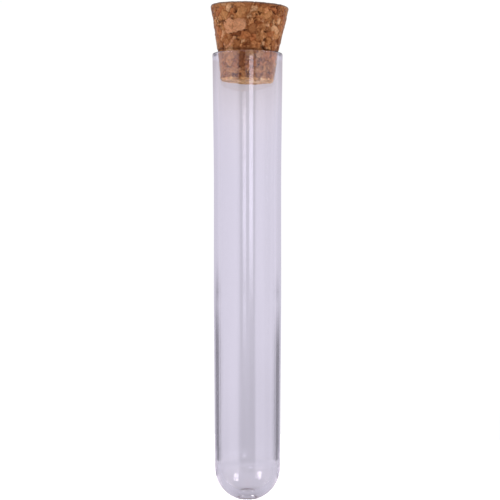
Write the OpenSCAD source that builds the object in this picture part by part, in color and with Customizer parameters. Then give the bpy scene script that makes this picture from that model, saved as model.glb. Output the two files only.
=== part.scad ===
// Round-bottomed clear plastic test tube, closed by a tapered agglomerated-cork stopper.
// Millimetres, +Z up. The origin is on the tube's axis, at the lowest ring of its round bottom.

/* [Tube outside] */
// Length of the tube, from its bottom to the top of its lip
tube_l = 100; // [75:1:160]
// Diameter of the round bottom, where the straight wall starts
foot_d = 14.58; // [13.8:0.01:15.1]
// Diameter of the parallel band that a rack, clip or clamp grips
band_d = 15.12; // [14.6:0.01:15.6]
// Length of the parallel band
band_l = 27; // [5:0.5:55]
// Distance from the top of the band up to where the mouth starts to flare
band_gap = 5; // [1:0.5:20]
// Length of the flared mouth
flare_l = 23; // [8:0.5:45]
// Diameter where the flare starts
neck_d = 15.2; // [14.8:0.01:15.8]
// Diameter of the mouth
mouth_d = 15.76; // [15.6:0.01:16.6]
// Radius that rounds the lip inside and outside
lip_round = 0.36; // [0.1:0.01:0.4]

/* [Tube inside] */
// Diameter of the bore, where its round bottom starts
bore_foot_d = 12.6; // [11:0.05:13.2]
// Diameter of the bore, where the mouth starts to flare
bore_neck_d = 13.24; // [12.8:0.01:13.8]
// Diameter of the bore at the mouth
bore_mouth_d = 14; // [13.9:0.01:14.1]
// Thickness of the bottom on the axis, measured from the lowest ring
floor_t = 1.2; // [1:0.05:4]

/* [Gate recess] */
// Diameter of the small round recess that hides the moulding gate
gate_d = 4; // [1:0.1:5]
// Depth of the recess
gate_depth = 0.45; // [0.1:0.05:0.8]

/* [Stopper] */
// Diameter of the stopper's top
cork_top_d = 17.5; // [15:0.1:20]
// Diameter of the stopper where it meets the mouth
cork_mouth_d = 13.52; // [12:0.02:13.6]
// Diameter of the stopper's bottom
cork_end_d = 11.9; // [9:0.1:13]
// Height of the stopper above the mouth
cork_out_l = 10.6; // [4:0.1:20]
// Depth of the stopper below the mouth
cork_in_l = 6.5; // [2:0.1:12]
// Bevel on the stopper's top edge
cork_edge = 0.4; // [0.1:0.05:1]
// Bevel on the stopper's bottom edge
cork_end_edge = 0.55; // [0.1:0.05:1]
// Angle that the stopper leans towards +X, in degrees
cork_lean = 2; // [0:0.1:2.2]
// Sideways offset of the stopper in the mouth, towards +X
cork_offset = 0.12; // [0:0.01:0.2]

/* [Hidden] */
$fn = 96;

foot_r = foot_d / 2;
band_r = band_d / 2;
neck_r = neck_d / 2;
mouth_r = mouth_d / 2;
bore_foot_r = bore_foot_d / 2;
bore_neck_r = bore_neck_d / 2;
bore_mouth_r = bore_mouth_d / 2;
gate_r = gate_d / 2;

neck_z = tube_l - flare_l;
band_z1 = neck_z - band_gap;
band_z0 = band_z1 - band_l;
lip_z = tube_l - lip_round;
// The round bottom's centre, set so that the gate recess's edge is the tube's lowest ring
foot_z = sqrt(pow(foot_r, 2) - pow(gate_r, 2));
bore_foot_z = floor_t + bore_foot_r;
// Cutters and masks run past the solid by this much
past = 1;

// Half of a section with a round end of radius r centred at height z, and the outline above it
module round_ended_section(r, z, outline) {
    intersection() {
        union() {
            translate([0, z]) circle(r = r);
            polygon(concat([[0, z], [r, z]], outline));
        }
        translate([0, -past]) square([mouth_d, tube_l + 3 * past]);
    }
}

// The outside of the tube, up to where the lip's rounding starts
module outer_section() {
    round_ended_section(foot_r, foot_z, [
        [band_r, band_z0],
        [band_r, band_z1],
        [neck_r, neck_z],
        [mouth_r, lip_z],
        [0, lip_z]
    ]);
}

// The lip: a flat ring with a rounded edge on each side
module lip_section() {
    translate([mouth_r - lip_round, lip_z]) circle(r = lip_round);
    translate([bore_mouth_r + lip_round, lip_z]) circle(r = lip_round);
    translate([bore_mouth_r + lip_round, lip_z - lip_round])
        square([mouth_r - bore_mouth_r - 2 * lip_round, 2 * lip_round]);
}

// The inside of the tube, up to where the lip's rounding starts
module bore_section() {
    round_ended_section(bore_foot_r, bore_foot_z, [
        [bore_neck_r, neck_z],
        [bore_mouth_r, lip_z],
        [0, lip_z]
    ]);
}

// The moulded tube: one piece, with its draft, flared mouth, rounded lip and gate recess
module tube() {
    color([0.85, 0.84, 0.91, 0.45])
        difference() {
            rotate_extrude() {
                difference() {
                    outer_section();
                    bore_section();
                }
                lip_section();
            }
            translate([0, 0, -past]) cylinder(h = gate_depth + past, r = gate_r);
        }
}

// The stopper's half section, with the mouth's plane at height 0
module cork_section() {
    top_r = cork_top_d / 2;
    end_r = cork_end_d / 2;
    polygon([
        [0, -cork_in_l],
        [end_r - cork_end_edge, -cork_in_l],
        [end_r, cork_end_edge - cork_in_l],
        [cork_mouth_d / 2, 0],
        [top_r, cork_out_l - cork_edge],
        [top_r - cork_edge, cork_out_l],
        [0, cork_out_l]
    ]);
}

// The stopper as it sits: pushed a little way into the mouth, and leaning
module stopper() {
    color([0.66, 0.45, 0.30])
        translate([cork_offset, 0, tube_l])
            rotate([0, cork_lean, 0])
                rotate_extrude() cork_section();
}

tube();
stopper();
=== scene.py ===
"""The looks of a round-bottomed plastic test tube closed by an agglomerated-cork stopper.

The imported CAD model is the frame: it gives the tube's length, the mouth and the stopper's place.
Lengths are in millimetres until a mesh is made, and every Blender object is in metres.
"""
import math

import bpy
import numpy as np
from mathutils import Matrix, Vector


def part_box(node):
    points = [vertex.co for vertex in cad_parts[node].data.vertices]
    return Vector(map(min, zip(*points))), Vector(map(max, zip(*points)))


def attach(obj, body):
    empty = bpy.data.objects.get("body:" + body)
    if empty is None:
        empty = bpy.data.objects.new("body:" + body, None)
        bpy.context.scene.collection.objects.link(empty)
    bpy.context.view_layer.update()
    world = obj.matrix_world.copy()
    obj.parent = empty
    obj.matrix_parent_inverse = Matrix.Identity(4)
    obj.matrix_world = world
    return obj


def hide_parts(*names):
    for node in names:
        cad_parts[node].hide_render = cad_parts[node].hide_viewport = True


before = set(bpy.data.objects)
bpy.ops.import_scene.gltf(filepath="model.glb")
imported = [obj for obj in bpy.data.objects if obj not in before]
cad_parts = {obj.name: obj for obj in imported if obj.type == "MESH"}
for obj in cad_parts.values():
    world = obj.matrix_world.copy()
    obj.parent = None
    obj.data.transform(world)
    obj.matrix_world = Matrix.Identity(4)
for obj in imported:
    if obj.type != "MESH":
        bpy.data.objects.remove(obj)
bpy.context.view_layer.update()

MM = 0.001
TUBE_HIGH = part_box("tube")[1]
TUBE_LENGTH = TUBE_HIGH.z / MM
MOUTH_R = TUBE_HIGH.x / MM

# ---------------------------------------------------------------- tube, in mm
TUBE_SEGMENTS = 192
RING_STEP = 1.5          # distance between rings along the straight wall
FOOT_R = 7.29            # outside of the round bottom
BAND_R = 7.56            # the parallel band
BAND_Z = (45.0, 72.0)
NECK_R, NECK_Z = 7.60, 77.0
LIP_ROUND = 0.36
BORE_FOOT_R = 6.30
BORE_NECK_R = 6.62
BORE_MOUTH_R = 7.00
FLOOR = 1.2              # thickness of the bottom on the axis
GATE_R, GATE_DEPTH = 2.0, 0.45
NUB_R, NUB_HEIGHT = 0.45, 0.2
EDGE_ROUND = 0.04        # rounding inside the gate recess
RIM_ROUND = 0.35         # and on its rim
# The rim's curve: how far outside the recess's wall, and how high, as a share of the recess's depth
RIM_CURVE = ((0.02, 0.6), (0.07, 0.25), (0.175, 0.08))
# The fine line where the mould's bottom cavity meets its body: height, depth and half its width
SEAM_Z, SEAM_DEPTH, SEAM_HALF_WIDTH = 8.1, 0.02, 0.12
PLASTIC_IOR = 1.59       # clear polystyrene
PLASTIC_DENSITY = 5.0    # absorption per metre, times one minus the tint
PLASTIC_TINT = (0.35, 0.25, 0.55)

# ------------------------------------------------------------- stopper, in mm
CORK_TOP_R = 8.75
CORK_MOUTH_R = 6.76
CORK_END_R = 5.95
CORK_OUT, CORK_IN = 10.6, 6.5    # above and below the mouth
CORK_ROUND = 0.4                 # worn top edge
CORK_END_ROUND = 0.6             # and bottom edge
CORK_LEAN = 2.0                  # degrees towards +X
CORK_OFFSET = 0.12
CORK_STEP = 0.12                 # mesh spacing
CORK_COLUMNS = 420
CORK_SEED = 3

# ------------------------------------------------------------------- picture
CAMERA_DISTANCE = 404.0
CAMERA_X, CAMERA_Z = 0.56, 55.83
VIEW_WIDTH = 112.4       # width seen at the tube's axis
SENSOR = 36.0
FLOOR_R = 140.0
SHADOW_R, SHADOW_CORE = 6.0, 2.0
SHADOW_Z = -0.02         # just under the floor's surface
SHADOW_BRIGHTNESS = 0.44
BEHIND_OBJECT = 1.02     # the plain background that the camera sees
BOUNCES = 96             # light runs a long way inside the clear wall


# ==================================================================== helpers
def arc(centre_r, centre_z, radius, start, end, steps):
    """Points (r, z) on an arc, angles in degrees from the +r direction."""
    angles = np.radians(np.linspace(start, end, steps + 1))
    return [(centre_r + radius * math.cos(a), centre_z + radius * math.sin(a)) for a in angles]


def straight(start, end, step):
    """Points from start up to, but without, end, no further apart than step."""
    length = math.dist(start, end)
    count = max(1, math.ceil(length / step))
    return [tuple(np.array(start) + (np.array(end) - start) * k / count) for k in range(count)]


def add_object(name, vertices_mm, faces, material, smooth_angle=30.0):
    mesh = bpy.data.meshes.new(name)
    mesh.from_pydata([tuple(v) for v in np.asarray(vertices_mm) * MM], [], faces)
    mesh.validate()
    mesh.polygons.foreach_set("use_smooth", [True] * len(mesh.polygons))
    mesh.set_sharp_from_angle(angle=math.radians(smooth_angle))
    mesh.materials.append(material)
    obj = bpy.data.objects.new(name, mesh)
    bpy.context.scene.collection.objects.link(obj)
    return obj


def new_material(name):
    material = bpy.data.materials.new(name)
    material.use_nodes = True
    material.node_tree.nodes.clear()
    return material, material.node_tree


def make(tree, kind, settings=None, **inputs):
    """A node of this kind. An input is a value, or the output socket of another node."""
    node = tree.nodes.new(kind)
    for key, value in (settings or {}).items():
        setattr(node, key, value)
    for key, value in inputs.items():
        socket = node.inputs[int(key[1:])] if key[0] == "i" and key[1:].isdigit() else node.inputs[key]
        if isinstance(value, bpy.types.NodeSocket):
            tree.links.new(value, socket)
        else:
            socket.default_value = value
    return node


def maths(tree, operation, a, b=0.0):
    return make(tree, "ShaderNodeMath", {"operation": operation}, i0=a, i1=b).outputs[0]


def map_range(tree, value, low, high, to_low=0.0, to_high=1.0, smooth=False):
    settings = {"interpolation_type": "SMOOTHSTEP" if smooth else "LINEAR"}
    node = make(tree, "ShaderNodeMapRange", settings, i0=value, i1=low, i2=high, i3=to_low, i4=to_high)
    return node.outputs[0]


def mix_values(tree, factor, a, b):
    return make(tree, "ShaderNodeMix", {"data_type": "FLOAT"}, i0=factor, i2=a, i3=b).outputs[0]


def mix_colours(tree, factor, a, b, blend="MIX"):
    settings = {"data_type": "RGBA", "blend_type": blend}
    return make(tree, "ShaderNodeMix", settings, i0=factor, i6=a, i7=b).outputs[2]


def circle(radius, z, count):
    """Points (x, y, z) on a level circle."""
    angles = [2 * math.pi * k / count for k in range(count)]
    return [(radius * math.cos(a), radius * math.sin(a), z) for a in angles]


# ===================================================================== camera
def add_camera():
    data = bpy.data.cameras.new("camera")
    data.sensor_width = SENSOR
    data.lens = SENSOR * CAMERA_DISTANCE / VIEW_WIDTH
    data.clip_start, data.clip_end = 0.01, 20.0
    camera = bpy.data.objects.new("camera", data)
    camera.location = Vector((CAMERA_X, -CAMERA_DISTANCE, CAMERA_Z)) * MM
    camera.rotation_euler = (math.radians(90), 0, 0)
    bpy.context.scene.collection.objects.link(camera)
    bpy.context.scene.camera = camera


# ====================================================================== stage
# The studio is made of soft-edged cards round the tube. Azimuth 0 is straight behind the tube, 180 is the
# camera's side, and positive is to the right; heights are degrees above the horizon. Later cards cover
# earlier ones. Each has its azimuths, its heights and its brightness.
CARDS = {
    "backdrop_upper": (-70, 70, 4.6, 90, 0.47),
    "backdrop_top": (-80, 80, 11, 90, 0.38),
    "left_wall": (-150, -52, -90, 90, 0.78),
    "left_window": (-142, -103, -90, 90, 1.02),
    "right_wall": (54, 156, -90, 90, 0.84),
    "right_window": (122, 150, -2, 90, 1.05),
    "right_wall_foot": (56, 156, -90, -4.2, 0.48),
    "left_gap": (-49, -21.5, -90, -1.8, 0.2),
    "right_gap": (21.5, 50, -90, -2.2, 0.21),
    "camera_side": (152, 208, -90, 90, 0.42),
    "dark_corner": (-172, -151, -90, 90, 0.08),
    "camera_side_foot": (151, 212, -90, -4.2, 0.03),
}
CARD_SOFTNESS = (3.0, 1.1)           # of a card's sides, and of its top and bottom
BACKDROP_BRIGHTNESS = 0.61
# The cards give way to the white table between these heights, behind the tube and before it
TABLE_EDGE_BEHIND = (-6.48, -6.7)
TABLE_EDGE_BEFORE = (-10.0, -14.0)
BESIDE = (85.0, 115.0)               # from behind to before, in azimuth
TABLE_BRIGHTNESS = 0.59
UPLIGHT = 0.5                        # the table straight below the tube
UPLIGHT_HEIGHTS = (-40.0, -75.0)
CEILING_BRIGHTNESS = 0.25
CEILING_HEIGHTS = (25.0, 50.0)
LIGHT_TINT = (1.02, 0.965, 1.15)
UPPER_TINT = (1.07, 0.965, 1.06)     # warmer above
TINT_HEIGHTS = (2.5, 6.0)            # and changing over between these heights
LAMPS = ((-106, 40, 7.3), (100, 46, 9.9))    # azimuth, height and brightness of the two lamps
LAMP_REACH = (17.0, 8.5)             # half of a lamp's width and height, in degrees
LAMP_EDGE = (1.6, 0.5)               # its edge is soft between these squares of the distance
STRIP_AZIMUTH = 167.2                # the strip light's middle
STRIP_HALF_WIDTH, STRIP_SOFTNESS = 6.8, 1.5
STRIP_FADE_IN, STRIP_FADE_OUT = (-3.5, 1.0), (6.5, 5.8)
STRIP_BRIGHTNESS = 2.5


def degrees_from(tree, azimuth, middle):
    """How far the direction's azimuth is from this one, either way round."""
    turned = maths(tree, "ADD", azimuth, 540.0 - middle)
    off = maths(tree, "SUBTRACT", maths(tree, "MODULO", turned, 360.0), 180.0)
    return maths(tree, "ABSOLUTE", off)


def card_light(tree, azimuth, height):
    """The backdrop's brightness, with the cards over it."""
    brightness = BACKDROP_BRIGHTNESS
    side, end = CARD_SOFTNESS
    for left, right, low, high, value in CARDS.values():
        off = degrees_from(tree, azimuth, (left + right) / 2)
        half = (right - left) / 2
        across = map_range(tree, off, half + side, half - side, smooth=True)
        above = map_range(tree, height, low - end, low + end, smooth=True)
        below = map_range(tree, height, high + end, high - end, smooth=True)
        card = maths(tree, "MULTIPLY", across, maths(tree, "MULTIPLY", above, below))
        brightness = mix_values(tree, card, brightness, value)
    return brightness


def over_the_table(tree, azimuth, height, brightness):
    """This brightness, giving way to the table's below its edge."""
    table = map_range(tree, height, *UPLIGHT_HEIGHTS, TABLE_BRIGHTNESS, UPLIGHT, smooth=True)
    before = map_range(tree, maths(tree, "ABSOLUTE", azimuth), *BESIDE)
    edges = [map_range(tree, height, *edge) for edge in (TABLE_EDGE_BEHIND, TABLE_EDGE_BEFORE)]
    return mix_values(tree, mix_values(tree, before, *edges), brightness, table)


def strip_light(tree, azimuth, height):
    wide, narrow = STRIP_HALF_WIDTH + STRIP_SOFTNESS, STRIP_HALF_WIDTH - STRIP_SOFTNESS
    across = map_range(tree, degrees_from(tree, azimuth, STRIP_AZIMUTH), wide, narrow, smooth=True)
    fade_in = map_range(tree, height, *STRIP_FADE_IN, smooth=True)
    fade_out = map_range(tree, height, *STRIP_FADE_OUT, smooth=True)
    strip = maths(tree, "MULTIPLY", maths(tree, "MULTIPLY", across, fade_in), fade_out)
    return maths(tree, "MULTIPLY", strip, STRIP_BRIGHTNESS)


def lamp_light(tree, azimuth, height, lamp_azimuth, lamp_height, lamp_brightness):
    """A soft-edged ellipse."""
    across = maths(tree, "DIVIDE", degrees_from(tree, azimuth, lamp_azimuth), LAMP_REACH[0])
    up = maths(tree, "DIVIDE", maths(tree, "SUBTRACT", height, lamp_height), LAMP_REACH[1])
    squared = maths(tree, "ADD", maths(tree, "POWER", across, 2.0), maths(tree, "MULTIPLY", up, up))
    return maths(tree, "MULTIPLY", map_range(tree, squared, *LAMP_EDGE, smooth=True), lamp_brightness)


def add_studio():
    """A pale studio that is darker beside and in front of the table, with a strip light and two lamps."""
    world = bpy.data.worlds.new("studio")
    bpy.context.scene.world = world
    world.use_nodes = True
    tree = world.node_tree
    tree.nodes.clear()
    direction = make(tree, "ShaderNodeTexCoord").outputs["Generated"]
    x, y, z = make(tree, "ShaderNodeSeparateXYZ", i0=direction).outputs
    azimuth = maths(tree, "MULTIPLY", maths(tree, "ARCTAN2", x, y), 180 / math.pi)
    height = maths(tree, "MULTIPLY", maths(tree, "ARCSINE", z), 180 / math.pi)

    brightness = over_the_table(tree, azimuth, height, card_light(tree, azimuth, height))
    ceiling = map_range(tree, height, *CEILING_HEIGHTS, smooth=True)
    brightness = mix_values(tree, ceiling, brightness, CEILING_BRIGHTNESS)
    brightness = maths(tree, "ADD", brightness, strip_light(tree, azimuth, height))
    for lamp in LAMPS:
        brightness = maths(tree, "ADD", brightness, lamp_light(tree, azimuth, height, *lamp))

    warmth = map_range(tree, height, *TINT_HEIGHTS, smooth=True)
    tint = mix_colours(tree, warmth, (*LIGHT_TINT, 1), (*UPPER_TINT, 1))
    studio = make(tree, "ShaderNodeBackground", Color=tint, Strength=brightness).outputs[0]
    plain = make(tree, "ShaderNodeBackground", Color=(1, 1, 1, 1), Strength=BEHIND_OBJECT).outputs[0]
    to_camera = make(tree, "ShaderNodeLightPath").outputs["Is Camera Ray"]
    mixed = make(tree, "ShaderNodeMixShader", i0=to_camera, i1=studio, i2=plain).outputs[0]
    make(tree, "ShaderNodeOutputWorld", Surface=mixed)


def add_floor():
    material, tree = new_material("white_floor")
    shader = make(tree, "ShaderNodeBsdfPrincipled")
    shader.inputs["Base Color"].default_value = (0.85, 0.85, 0.85, 1)
    shader.inputs["Roughness"].default_value = 0.9
    shader.inputs["Emission Color"].default_value = (1, 1, 1, 1)
    shader.inputs["Emission Strength"].default_value = 0.7
    make(tree, "ShaderNodeOutputMaterial", Surface=shader.outputs[0])
    ring = circle(FLOOR_R, 0.0, 96)
    floor = add_object("floor", ring, [tuple(range(len(ring)))], material)
    floor.visible_transmission = False
    floor.visible_glossy = False
    floor.visible_diffuse = False


def add_contact_shadow():
    """The shadow under the round bottom, as it is seen through the plastic. The camera doesn't see it."""
    material, tree = new_material("contact_shadow")
    place = make(tree, "ShaderNodeTexCoord").outputs["Object"]
    distance = make(tree, "ShaderNodeVectorMath", {"operation": "LENGTH"}, i0=place).outputs["Value"]
    core, edge = SHADOW_CORE * MM, SHADOW_R * MM
    glow = map_range(tree, distance, core, edge, SHADOW_BRIGHTNESS, TABLE_BRIGHTNESS, smooth=True)
    shader = make(tree, "ShaderNodeEmission", Color=(*LIGHT_TINT, 1), Strength=glow)
    make(tree, "ShaderNodeOutputMaterial", Surface=shader.outputs[0])
    ring = circle(SHADOW_R, SHADOW_Z, 48)
    shadow = add_object("contact_shadow", ring, [tuple(range(len(ring)))], material)
    shadow.visible_camera = False
    shadow.visible_diffuse = False
    shadow.visible_shadow = False


def set_picture():
    scene = bpy.context.scene
    scene.view_settings.view_transform = "Standard"
    scene.view_settings.look = "None"
    scene.cycles.max_bounces = BOUNCES
    scene.cycles.transmission_bounces = BOUNCES
    scene.cycles.glossy_bounces = BOUNCES
    scene.cycles.blur_glossy = 0.0


# ======================================================================= tube
def clear_plastic():
    material, tree = new_material("clear_polystyrene")
    shader = make(tree, "ShaderNodeBsdfPrincipled")
    shader.inputs["Base Color"].default_value = (1, 1, 1, 1)
    shader.inputs["Transmission Weight"].default_value = 1.0
    shader.inputs["IOR"].default_value = PLASTIC_IOR
    shader.inputs["Roughness"].default_value = 0.02
    volume = make(tree, "ShaderNodeVolumeAbsorption", Color=(*PLASTIC_TINT, 1), Density=PLASTIC_DENSITY)
    make(tree, "ShaderNodeOutputMaterial", Surface=shader.outputs[0], Volume=volume.outputs[0])
    return material


def tube_outline():
    """The wall's closed section (r, z): recess, outside, lip, bore and floor, from axis to axis."""
    foot_z = math.sqrt(FOOT_R ** 2 - GATE_R ** 2)
    bore_foot_z = FLOOR + BORE_FOOT_R
    lip_z = TUBE_LENGTH - LIP_ROUND
    nub_top = GATE_DEPTH - NUB_HEIGHT
    e = EDGE_ROUND
    points = [(0.0, nub_top), (NUB_R / 2, nub_top)]
    points += arc(NUB_R - e, nub_top + e, e, -90, 0, 3)
    points += arc(NUB_R + e, GATE_DEPTH - e, e, 180, 90, 3)
    points += arc(GATE_R - e, GATE_DEPTH - e, e, 90, 0, 3)
    start = -math.degrees(math.acos((GATE_R + RIM_ROUND) / FOOT_R))
    points += [(GATE_R + out, share * GATE_DEPTH) for out, share in RIM_CURVE]
    points += arc(0, foot_z, FOOT_R, start, 0, 40)
    points += [(FOOT_R, SEAM_Z - SEAM_HALF_WIDTH), (FOOT_R - SEAM_DEPTH, SEAM_Z)]
    points += [(FOOT_R, SEAM_Z + SEAM_HALF_WIDTH)]
    points += straight(points[-1], (BAND_R, BAND_Z[0]), RING_STEP)[1:]
    points += straight((BAND_R, BAND_Z[0]), (BAND_R, BAND_Z[1]), RING_STEP)
    points += straight((BAND_R, BAND_Z[1]), (NECK_R, NECK_Z), RING_STEP)
    points += straight((NECK_R, NECK_Z), (MOUTH_R, lip_z), RING_STEP)
    points += arc(MOUTH_R - LIP_ROUND, lip_z, LIP_ROUND, 0, 90, 8)
    points += arc(BORE_MOUTH_R + LIP_ROUND, lip_z, LIP_ROUND, 90, 180, 8)
    points += straight((BORE_MOUTH_R, lip_z), (BORE_NECK_R, NECK_Z), RING_STEP)[1:]
    points += straight((BORE_NECK_R, NECK_Z), (BORE_FOOT_R, bore_foot_z), RING_STEP)
    points += arc(0, bore_foot_z, BORE_FOOT_R, 0, -90, 40)[:-1]
    points += [(0.0, FLOOR)]
    return points


def lathe(outline, segments):
    """Vertices and faces of an outline that starts and ends on the axis, turned about Z."""
    rings = outline[1:-1]
    angles = np.arange(segments) * 2 * math.pi / segments
    vertices = [(0.0, 0.0, outline[0][1])]
    for r, z in rings:
        vertices += [(r * math.cos(a), r * math.sin(a), z) for a in angles]
    vertices.append((0.0, 0.0, outline[-1][1]))
    last = len(vertices) - 1
    faces = []
    for j in range(segments):
        k = (j + 1) % segments
        faces.append((0, 1 + k, 1 + j))
        for i in range(len(rings) - 1):
            a, b = 1 + i * segments, 1 + (i + 1) * segments
            faces.append((a + j, a + k, b + k, b + j))
        a = 1 + (len(rings) - 1) * segments
        faces.append((a + j, a + k, last))
    return vertices, faces


def add_tube():
    vertices, faces = lathe(tube_outline(), TUBE_SEGMENTS)
    tube = add_object("tube_shell", vertices, faces, clear_plastic())
    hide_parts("tube")
    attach(tube, "tube_body")
    return tube


# ==================================================================== stopper
# The colours of the granules, in sRGB
GRAIN_COLOURS = {
    "tan": (166, 116, 80), "pale": (186, 144, 116), "brown": (140, 90, 58), "dark": (116, 68, 40),
    "red": (158, 98, 64), "pink": (180, 130, 104),
}
# How common each colour is
GRAIN_SHARES = {"tan": 0.32, "pale": 0.2, "brown": 0.22, "dark": 0.12, "red": 0.12, "pink": 0.02}
# The few granules that stand out on the front. Each has its place across the front, its height above the
# mouth, its length, width and tilt in degrees, and its colour.
LANDMARKS = (
    (-3.2, 5.5, 5.4, 3.3, 4, "pink"),
    (-5.4, 4.9, 1.8, 1.2, -20, "tan"),
    (-1.6, 8.6, 3.0, 2.0, 20, "tan"),
    (-4.6, 9.2, 1.8, 1.3, 80, "pale"),
    (-6.5, 8.7, 1.8, 1.3, 60, "red"),
    (0.9, 9.2, 1.5, 0.9, 80, "pale"),
    (5.3, 9.2, 3.2, 0.9, -5, "red"),
    (4.0, 7.9, 2.4, 1.4, 35, "tan"),
    (6.5, 6.8, 1.7, 0.8, 80, "pale"),
    (5.8, 5.1, 2.2, 1.2, -30, "pale"),
    (0.2, 7.4, 1.0, 0.6, 20, "pale"),
    (0.8, 4.7, 2.2, 1.5, 70, "brown"),
    (0.8, 2.8, 2.2, 1.5, 60, "red"),
    (-4.2, 1.4, 2.5, 0.8, 40, "pink"),
    (-2.9, 3.4, 2.2, 0.8, 0, "dark"),
    (-2.6, 1.1, 2.2, 1.2, 60, "brown"),
    (5.4, 1.6, 2.4, 0.9, 80, "brown"),
    (6.1, 3.5, 1.8, 1.2, 20, "tan"),
    (-3.6, -2.0, 3.0, 1.8, 60, "tan"),
    (-3.4, -4.6, 2.8, 1.8, 0, "tan"),
    (-1.3, -1.9, 3.2, 0.8, 85, "dark"),
)
# Holes on the front, where granules have left a gap: place across, height above the mouth, radius
FRONT_PITS = (
    (2.4, 8.1, 0.4), (3.7, 2.5, 0.35), (3.5, 0.5, 0.4), (-3.2, 8.2, 0.4), (3.7, 4.1, 0.35), (-0.9, 4.1, 0.3),
    (-5.3, 6.2, 0.25), (-4.3, -3.4, 0.3), (-4.0, -5.1, 0.25), (-1.6, -5.2, 0.35), (3.4, -3.5, 0.3),
)
# Parts of the front made of fine crumbs only: place across, height above the mouth, radius
CRUMB_ZONES = ((2.7, 6.3, 1.9), (3.3, 1.4, 1.6), (3.4, -3.5, 2.3))
CRUMB_RADIUS = 0.5       # granules there are no larger than this
# The other granules, coarse to fine: radius and how many times one is tried
GRAIN_SIZES = ((1.5, 50), (1.1, 300), (0.8, 900), (0.55, 2500), (0.38, 5000), (0.26, 7000))
GRAIN_CONTRAST = 0.6
CORK_MEAN = (156, 104, 70)
CORK_BRIGHTNESS = (1.41, 1.34, 0.92)
CUT_FACE_AND_LIGHT = (1.74, 2.25, 2.6)             # the freshly cut bottom is paler, with painted light as if lit from below
# Painted shade greys and darkens the top, a little all over and more at its edge, where the light from above
# is weak
TOP_SHADE_COLOUR = (0.13, 0.105, 0.085)
TOP_SHADE_ALL_OVER, TOP_SHADE_AT_EDGE = 0.15, 0.65
TOP_SHADE_BELOW_TOP = (0.55, 0.15)           # it starts and is full this far below the top
TOP_SHADE_FROM_EDGE = (0.8, 0.3)             # and this far in from the edge
# Painted shade: granules darken towards their borders, where shade falls between them, and are a little
# lighter inside
BORDER_SHADE, INNER_SHADE, BORDER_WIDTH = 0.8, 1.06, 0.35
DARKEST_SHADE = 0.15
SHADE_POWER = (0.8, 1.15, 1.55)          # darker cork is also more saturated
# The part inside the mouth, below these heights, is rubbed smooth: less contrast, and less painted shade in
# its crevices and holes
PLUG_HEIGHTS = (0.2, -0.6)
PLUG_CONTRAST, PLUG_GAPS = 0.85, 0.45
GRAIN_STAND = (-1, 0.4)  # how far granules stand out of the turned surface, times the next value
GRAIN_HEIGHT = 0.09
LANDMARK_CALM = 0.45     # the large granules are smoother than the others
LANDMARK_OPENNESS = 0.4  # and have a crevice all round
CREVICE_WIDTH = 0.13
# The dark colour of painted shade in crevices, holes and the lip's crease, and of the real dark flecks
SHADE_AND_FLECK_COLOUR = (0.10, 0.036, 0.009)
CORNER_GAP = (0.26, 0.05)        # a hole opens where three granules meet this closely
GRAZING_SHEEN, GRAZING_SHEEN_COLOUR = 0.55, (0.24, 0.20, 0.165)    # painted sheen: a pale grey reflection where the side turns away from view
CREASE_AND_SHADOW_HEIGHT, CREASE_AND_SHADOW_WIDTH = 0.3, 0.22              # the crease that the lip has pressed in, with a painted shadow where the cork meets the lip
# How deep each mark goes, in mm. One that is below zero stands out.
RELIEF = {
    "crevice": 0.17, "pit": 0.5, "seat": 0.12, "vein": 0.10,
    "crumbs": -0.05, "wrinkle": -0.03, "rough": -0.07, "ripple": -0.02, "swell": -0.05,
}
# Painted light and shade of the relief: how much each mark lightens the cork, or darkens it
PAINTED_RELIEF_SHADE = {"wrinkle": 0.14, "rough": 0.6, "crumbs": 0.4, "vein": -0.5}
# How much of the dark colour each mark has: painted shade in crevices and holes and at the lip's crease, and
# the real dark flecks
SHADE_AND_FLECK_SHARE = {"crevice": 0.45, "pit": 1.0, "fleck": 0.5, "seat": 0.6}
# For lattice_noise
HASH_PRIMES = np.array((73856093, 19349663, 83492791))
SEED_PRIME, MIXING_PRIME = 2654435761, 1274126177


def lattice_noise(points, size, seed):
    """Smooth noise from -1 to 1 that changes over this size, for an array of points."""
    q = np.asarray(points) / size
    base = np.floor(q).astype(np.int64)
    t = q - base
    t = t * t * (3 - 2 * t)
    total = np.zeros(len(q))
    for corner in np.ndindex(2, 2, 2):
        x, y, z = ((base + corner) * HASH_PRIMES).T
        mixed = x ^ y ^ z ^ (seed * SEED_PRIME)
        mixed = (mixed ^ (mixed >> 13)) * MIXING_PRIME & 0x7FFFFFFF
        mixed = (mixed ^ (mixed >> 16)) & 0xFFFF
        weight = np.prod(np.where(corner, t, 1 - t), axis=1)
        total += weight * (mixed / 32767.5 - 1)
    return total


def vector_noise(points, size, seed):
    return np.stack([lattice_noise(points, size, seed + k) for k in range(3)], axis=1)


def smooth_step(value, low, high):
    t = np.clip((value - low) / (high - low), 0, 1)
    return t * t * (3 - 2 * t)


def linear_colour(srgb):
    c = np.asarray(srgb, float) / 255
    return np.where(c <= 0.04045, c / 12.92, ((c + 0.055) / 1.055) ** 2.4)


def side_radius(s):
    return np.interp(s, (-CORK_IN, 0, CORK_OUT - CORK_ROUND), (CORK_END_R, CORK_MOUTH_R, CORK_TOP_R))


def front_point(x, s, depth):
    """A point this far under the front of the stopper."""
    r = side_radius(s) - depth
    return np.array([x, -math.sqrt(max(r * r - x * x, 0.01)), s])


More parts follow.
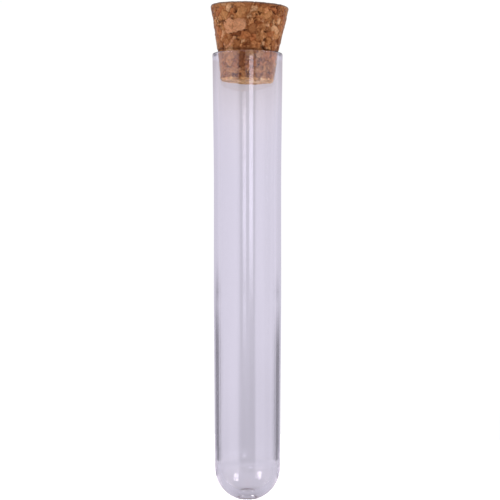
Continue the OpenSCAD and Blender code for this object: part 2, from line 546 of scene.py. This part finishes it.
def random_skin_point(rng, size):
    """A random point in the stopper, a little under its surface."""
    depth = rng.uniform(0, 0.7) * size
    angle = rng.uniform(0, 2 * math.pi)
    side_area = 2 * CORK_MOUTH_R * (CORK_OUT + CORK_IN)
    where = rng.uniform(0, side_area + CORK_TOP_R ** 2 + CORK_END_R ** 2)
    if where < side_area:
        s = rng.uniform(-CORK_IN, CORK_OUT)
        r = side_radius(s) - depth
    else:
        top = where < side_area + CORK_TOP_R ** 2
        r = (CORK_TOP_R if top else CORK_END_R) * math.sqrt(rng.uniform())
        s = CORK_OUT - depth if top else depth - CORK_IN
    return np.array([r * math.cos(angle), r * math.sin(angle), s])


def chain(start, along, radius, count, taper):
    """Balls in a row, each a little smaller than the one before: the body of a long granule."""
    return [(start + along * 0.8 * radius * k, radius * taper ** k) for k in range(count)]


def landmark_balls(x, s, length, width, tilt):
    """Balls along a granule's length, a little under the front."""
    count = max(1, round(2 * (length - width) / width) + 1)
    reach = max(length - width, 0) / 2
    balls = []
    for t in np.linspace(-reach, reach, count):
        across, up = t * math.cos(math.radians(tilt)), t * math.sin(math.radians(tilt))
        balls.append((front_point(x + across, s + up, 0.12 * width), width / 2))
    return balls


def grow_grains(rng):
    """Balls that the granules grow from: centre, radius, and the granule each belongs to; and colours."""
    most = 3 * sum(tries for _, tries in GRAIN_SIZES)
    centres, sizes, owners = np.empty((most, 3)), np.empty(most), np.empty(most, int)
    count, colours = 0, []

    def add(balls, colour):
        nonlocal count
        for centre, size in balls:
            centres[count], sizes[count], owners[count] = centre, size, len(colours)
            count += 1
        colours.append(colour)

    for *place, name in LANDMARKS:
        add(landmark_balls(*place), soften(linear_colour(GRAIN_COLOURS[name]), 1.0))
    zones = [(front_point(x, s, 0), radius) for x, s, radius in CRUMB_ZONES]
    names, shares = list(GRAIN_SHARES), list(GRAIN_SHARES.values())
    for size, tries in GRAIN_SIZES:
        for _ in range(tries):
            radius = size * rng.uniform(0.75, 1.2)
            p = random_skin_point(rng, radius)
            crowd = np.sqrt(((centres[:count] - p) ** 2).sum(1)) - sizes[:count]
            if crowd.min() < 0.7 * radius:
                continue
            if radius > CRUMB_RADIUS and any(np.linalg.norm(p - zone) < reach for zone, reach in zones):
                continue
            along = rng.normal(size=3)
            along /= np.linalg.norm(along)
            balls = chain(p, along, radius, rng.integers(1, 4), rng.uniform(0.7, 0.9))
            colour = linear_colour(GRAIN_COLOURS[names[rng.choice(len(names), p=shares)]])
            colour = colour * rng.uniform(0.85, 1.15) * (1 + rng.uniform(-0.04, 0.04, 3))
            add(balls, soften(colour, GRAIN_CONTRAST))
    return centres[:count], sizes[:count], owners[:count], np.array(colours)


def soften(colour, contrast):
    """A granule's colour, drawn in towards the cork's mean."""
    mean = linear_colour(CORK_MEAN)
    return (mean + (colour - mean) * contrast) * np.array(CORK_BRIGHTNESS)


def nearest_grains(points, centres, sizes, owners, batch=4000):
    """For each point, its granule, and how far it is inside from the faces shared with two neighbours."""
    grain = np.empty(len(points), int)
    gaps = np.empty((len(points), 2))
    for first in range(0, len(points), batch):
        part = points[first:first + batch]
        rows = np.arange(len(part))
        power = (part ** 2).sum(1)[:, None] + (centres ** 2).sum(1) - 2 * part @ centres.T - sizes ** 2
        ball, value = [], []
        for _ in range(3):
            nearest = power.argmin(1)
            ball.append(nearest)
            value.append(power[rows, nearest])
            power[owners[None, :] == owners[nearest][:, None]] = np.inf
        grain[first:first + batch] = owners[ball[0]]
        for k in (1, 2):
            apart = np.linalg.norm(centres[ball[k]] - centres[ball[0]], axis=1)
            gaps[first:first + batch, k - 1] = (value[k] - value[0]) / (2 * np.maximum(apart, 0.1))
    return grain, gaps


def disc_faces(ring_starts, flip):
    """Triangles between six-sided rings. Ring k has 6 k points, but the first is the middle point."""
    faces = []
    for k, (inner, outer) in enumerate(zip(ring_starts, ring_starts[1:])):
        inner_count, outer_count = max(1, 6 * k), 6 * (k + 1)
        for sector in range(6):
            for i in range(k + 1):
                a = inner + (sector * k + i) % inner_count
                b = outer + sector * (k + 1) + i
                c = outer + (sector * (k + 1) + i + 1) % outer_count
                faces.append((a, c, b) if flip else (a, b, c))
                if i < k:
                    d = inner + (sector * k + i + 1) % inner_count
                    faces.append((a, d, c) if flip else (a, c, d))
    return faces


def cork_grid():
    """The stopper's smooth surface: points, outward directions and faces.

    The side is a lathe of CORK_COLUMNS columns. Each end is a disc of six-sided rings, so that its
    mesh is as even as the side's.
    """
    rings = CORK_COLUMNS // 6
    low_edge, top_edge = CORK_END_ROUND - CORK_IN, CORK_OUT - CORK_ROUND
    side = arc(CORK_END_R - CORK_END_ROUND, low_edge, CORK_END_ROUND, -90, -7, 6)
    side += straight(side[-1], (CORK_MOUTH_R, 0), CORK_STEP)[1:]
    side += straight((CORK_MOUTH_R, 0), (CORK_TOP_R - 0.002, top_edge - 0.05), CORK_STEP)
    side += arc(CORK_TOP_R - CORK_ROUND, top_edge, CORK_ROUND, -7, 90, 5)
    side = np.array(side)
    along = np.gradient(side, axis=0)
    along /= np.linalg.norm(along, axis=1)[:, None]
    points, outward = [], []

    def add_ring(r, s, count, out_r, out_s):
        a = np.arange(count) * 2 * math.pi / count
        points.append(np.stack([r * np.cos(a), r * np.sin(a), np.full(count, s)], axis=1))
        outward.append(np.stack([out_r * np.cos(a), out_r * np.sin(a), np.full(count, out_s)], axis=1))

    def add_disc(radius, s, out_s, first):
        """Rings up to, but without, the rim. Returns where each ring starts, and where the rim will."""
        ring_starts = [first]
        add_ring(0, s, 1, 0, out_s)
        for k in range(1, rings):
            ring_starts.append(ring_starts[-1] + max(1, 6 * (k - 1)))
            add_ring(radius * k / rings, s, 6 * k, 0, out_s)
        return ring_starts, ring_starts[-1] + 6 * (rings - 1)

    bottom_starts, first_side = add_disc(side[0][0], -CORK_IN, -1, 0)
    for (r, s), (along_r, along_s) in zip(side, along):
        add_ring(r, s, CORK_COLUMNS, along_s, -along_r)
    last_side = first_side + (len(side) - 1) * CORK_COLUMNS
    top_starts, _ = add_disc(side[-1][0], CORK_OUT, 1, last_side + CORK_COLUMNS)
    faces = disc_faces(bottom_starts + [first_side], True)
    column = np.arange(CORK_COLUMNS)
    after = (column + 1) % CORK_COLUMNS
    for row in range(first_side, last_side, CORK_COLUMNS):
        above = row + CORK_COLUMNS
        faces += np.stack([row + column, row + after, above + after, above + column], axis=1).tolist()
    faces += disc_faces(top_starts + [last_side], False)
    return np.concatenate(points), np.concatenate(outward), faces


def find_pits(points, corner_gap):
    """How far in a hole each point is: where three granules meet, and at the holes on the front."""
    pit = smooth_step(corner_gap, *CORNER_GAP) * smooth_step(lattice_noise(points, 1.3, 31), 0.15, 0.55)
    wavy = points + 0.3 * vector_noise(points, 0.4, 41)
    for x, s, radius in FRONT_PITS:
        reach = np.linalg.norm(wavy - front_point(x, s, 0), axis=1)
        pit = np.maximum(pit, smooth_step(reach, 1.25 * radius, 0.5 * radius))
    return pit


def along_the_grain(points, grain, count, rng):
    """Points pushed together along their granule's own direction, so that noise over them makes streaks."""
    axes = rng.normal(size=(count, 3))
    axes /= np.linalg.norm(axes, axis=1)[:, None]
    shift = rng.uniform(-50, 50, count)
    lengthwise = (points * axes[grain]).sum(1)
    return points - 0.8 * lengthwise[:, None] * axes[grain] + shift[grain][:, None]


def cork_marks(points, warped, across, grain, gaps):
    """The marks on each point. Most run from 0 to 1, and the noises from about -1 to 1."""
    landmark = grain < len(LANDMARKS)
    calm = np.where(landmark, LANDMARK_CALM, 1.0)
    openness = smooth_step(lattice_noise(points, 0.9, 21), -0.1, 0.7)
    openness = np.where(landmark, np.maximum(openness, LANDMARK_OPENNESS), openness)
    crease_and_shadow_height = CREASE_AND_SHADOW_HEIGHT + 0.08 * lattice_noise(points, 1.5, 91)
    fleck = lattice_noise(points, 0.45, 81) + 0.5 * lattice_noise(points, 0.2, 82)
    vein = smooth_step(np.abs(lattice_noise(warped, 0.8, 101)), 0.14, 0.0)
    vein_here = smooth_step(lattice_noise(points, 1.6, 102), -0.3, 0.3)
    rough = 0.5 * lattice_noise(warped, 0.75, 97) + 0.4 * lattice_noise(warped, 0.38, 98)
    rough += 0.3 * lattice_noise(warped, 0.2, 99)
    wrinkle = lattice_noise(across, 0.45, 95) + 0.3 * lattice_noise(across, 0.2, 96)
    return {
        "crevice": np.exp(-(gaps[:, 0] / CREVICE_WIDTH) ** 2) * openness,
        "pit": find_pits(points, gaps[:, 1]),
        # The lip's crease: a real dent, darkened with painted shadow
        "seat": np.exp(-((points[:, 2] - crease_and_shadow_height) / CREASE_AND_SHADOW_WIDTH) ** 2),
        "fleck": smooth_step(fleck, 0.62, 0.95),
        "vein": calm * vein * vein_here,
        "crumbs": calm * smooth_step(lattice_noise(points, 0.3, 103), 0.4, 0.8),
        "rough": calm * rough,
        "wrinkle": 1 - 2 * np.abs(wrinkle),
        "ripple": lattice_noise(points, 0.3, 51),
        "swell": lattice_noise(points, 2.2, 52),
    }


def weighted(marks, weights):
    return sum(weight * marks[name] for name, weight in weights.items())


def cork_tone(points, colours, border_gap, marks):
    """Each point's colour, from its granule's colour."""
    height = points[:, 2]
    # Painted shade towards each granule's border, with the painted light and shade of the relief marks
    inside = smooth_step(border_gap, 0.0, BORDER_WIDTH)
    shade = BORDER_SHADE + (INNER_SHADE - BORDER_SHADE) * inside + weighted(marks, PAINTED_RELIEF_SHADE)
    tone = colours * np.maximum(shade, DARKEST_SHADE)[:, None] ** np.array(SHADE_POWER)
    plug = smooth_step(height, *PLUG_HEIGHTS)
    mean = linear_colour(CORK_MEAN) * np.array(CORK_BRIGHTNESS)
    tone = mean + (tone - mean) * (1 - (1 - PLUG_CONTRAST) * plug)[:, None]
    # The bottom is paler: fresh-cut cork, with painted light from below
    end_edge = CORK_END_ROUND - CORK_IN
    cut_face_and_light = smooth_step(height, end_edge + 0.1, end_edge - 0.1)[:, None]
    tone *= 1 + cut_face_and_light * (np.array(CUT_FACE_AND_LIGHT) - 1)
    from_axis = np.linalg.norm(points[:, :2], axis=1)
    # Painted shade: the top goes greyer and darker, most at its edge
    top_shade = smooth_step(height, *(CORK_OUT - below for below in TOP_SHADE_BELOW_TOP))
    at_edge = smooth_step(from_axis, *(CORK_TOP_R - inward for inward in TOP_SHADE_FROM_EDGE))
    top_shade *= TOP_SHADE_ALL_OVER + TOP_SHADE_AT_EDGE * at_edge
    return tone + top_shade[:, None] * (np.array(TOP_SHADE_COLOUR) - tone)


def cork_surface():
    """Points, faces, and for each point its colour, its painted shade of a crevice, hole or crease with its
    dark flecks, and its streaks.
    """
    rng = np.random.default_rng(CORK_SEED)
    points, outward, faces = cork_grid()
    height = points[:, 2]
    centres, sizes, owners, colours = grow_grains(rng)
    warped = points + 0.38 * vector_noise(points, 1.0, 1) + 0.22 * vector_noise(points, 0.4, 7)
    grain, gaps = nearest_grains(warped, centres, sizes, owners)
    across = along_the_grain(points, grain, len(colours), rng)
    stand = rng.uniform(*GRAIN_STAND, len(colours)) * GRAIN_HEIGHT
    marks = cork_marks(points, warped, across, grain, gaps)
    depth = weighted(marks, RELIEF) - stand[grain]
    depth *= 1 - 0.6 * smooth_step(height, CORK_OUT - 1.0, CORK_OUT - 0.3)
    tone = cork_tone(points, colours[grain], gaps[:, 0], marks)
    shade_and_flecks = np.clip(weighted(marks, SHADE_AND_FLECK_SHARE), 0, 1)
    shade_and_flecks *= 1 - PLUG_GAPS * smooth_step(height, *PLUG_HEIGHTS)
    streak = 0.6 * lattice_noise(across, 0.35, 61) + 0.4 * lattice_noise(warped, 0.9, 71)
    return points - outward * depth[:, None], faces, tone, shade_and_flecks, streak


def agglomerated_cork():
    material, tree = new_material("agglomerated_cork")
    tone = make(tree, "ShaderNodeAttribute", {"attribute_name": "tone"}).outputs["Color"]
    shade_and_flecks = make(tree, "ShaderNodeAttribute", {"attribute_name": "shade_and_flecks"}).outputs["Fac"]
    streak = make(tree, "ShaderNodeAttribute", {"attribute_name": "streak"}).outputs["Fac"]
    coordinates = make(tree, "ShaderNodeTexCoord").outputs
    place = coordinates["Object"]
    upward = make(tree, "ShaderNodeSeparateXYZ", i0=coordinates["Normal"]).outputs[2]

    def noise_of(size, detail, rough=0.6):
        scale = 1 / (size * MM)
        node = make(tree, "ShaderNodeTexNoise", Vector=place, Scale=scale, Detail=detail, Roughness=rough)
        return node.outputs["Fac"]

    crumb = map_range(tree, noise_of(0.30, 4.0), 0.3, 0.7, 0.82, 1.18)
    light = maths(tree, "ADD", crumb, maths(tree, "MULTIPLY", streak, 0.15))
    lit = mix_colours(tree, 1.0, tone, light, "MULTIPLY")
    # Painted shade in crevices, holes and the lip's crease, and the real dark flecks
    dark = mix_colours(tree, maths(tree, "MULTIPLY", shade_and_flecks, 0.75), lit, (*SHADE_AND_FLECK_COLOUR, 1))
    cells = make(tree, "ShaderNodeTexVoronoi", Vector=place, Scale=1 / (0.07 * MM)).outputs["Distance"]
    height = maths(tree, "ADD", maths(tree, "MULTIPLY", noise_of(0.12, 5.0, 0.7), 1.4), cells)
    bump = make(tree, "ShaderNodeBump", Height=height, Strength=0.6, Distance=0.03 * MM)
    shader = make(tree, "ShaderNodeBsdfPrincipled", Normal=bump.outputs[0])
    # Painted sheen: the side greys where it turns away from view
    facing = make(tree, "ShaderNodeLayerWeight", Blend=0.5).outputs["Facing"]
    on_side = map_range(tree, maths(tree, "ABSOLUTE", upward), 0.8, 0.5)
    grazing_sheen_mask = maths(tree, "MULTIPLY", map_range(tree, facing, 0.5, 0.9, 0.0, GRAZING_SHEEN, True), on_side)
    with_grazing_sheen = mix_colours(tree, grazing_sheen_mask, dark, (*GRAZING_SHEEN_COLOUR, 1))
    tree.links.new(with_grazing_sheen, shader.inputs["Base Color"])
    tree.links.new(map_range(tree, noise_of(0.2, 3.0), 0.3, 0.7, 0.70, 0.95), shader.inputs["Roughness"])
    shader.inputs["Specular IOR Level"].default_value = 0.2
    shader.inputs["Sheen Weight"].default_value = 0.3
    shader.inputs["Sheen Roughness"].default_value = 0.3
    shader.inputs["Sheen Tint"].default_value = (0.9, 0.95, 0.8, 1)
    make(tree, "ShaderNodeOutputMaterial", Surface=shader.outputs[0])
    return material


def add_stopper():
    points, faces, tone, shade_and_flecks, streak = cork_surface()
    cork = add_object("cork_stopper", points, faces, agglomerated_cork(), 180.0)
    mesh = cork.data
    colour = mesh.attributes.new("tone", "FLOAT_COLOR", "POINT")
    colour.data.foreach_set("color", np.column_stack([tone, np.ones(len(tone))]).ravel())
    mesh.attributes.new("shade_and_flecks", "FLOAT", "POINT").data.foreach_set("value", shade_and_flecks)
    mesh.attributes.new("streak", "FLOAT", "POINT").data.foreach_set("value", streak)
    seat = Matrix.Translation(Vector((CORK_OFFSET, 0, TUBE_LENGTH)) * MM)
    mesh.transform(seat @ Matrix.Rotation(math.radians(CORK_LEAN), 4, "Y"))
    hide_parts("stopper")
    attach(cork, "stopper_body")
    return cork


add_camera()
set_picture()
add_studio()
add_floor()
add_contact_shadow()
add_tube()
add_stopper()
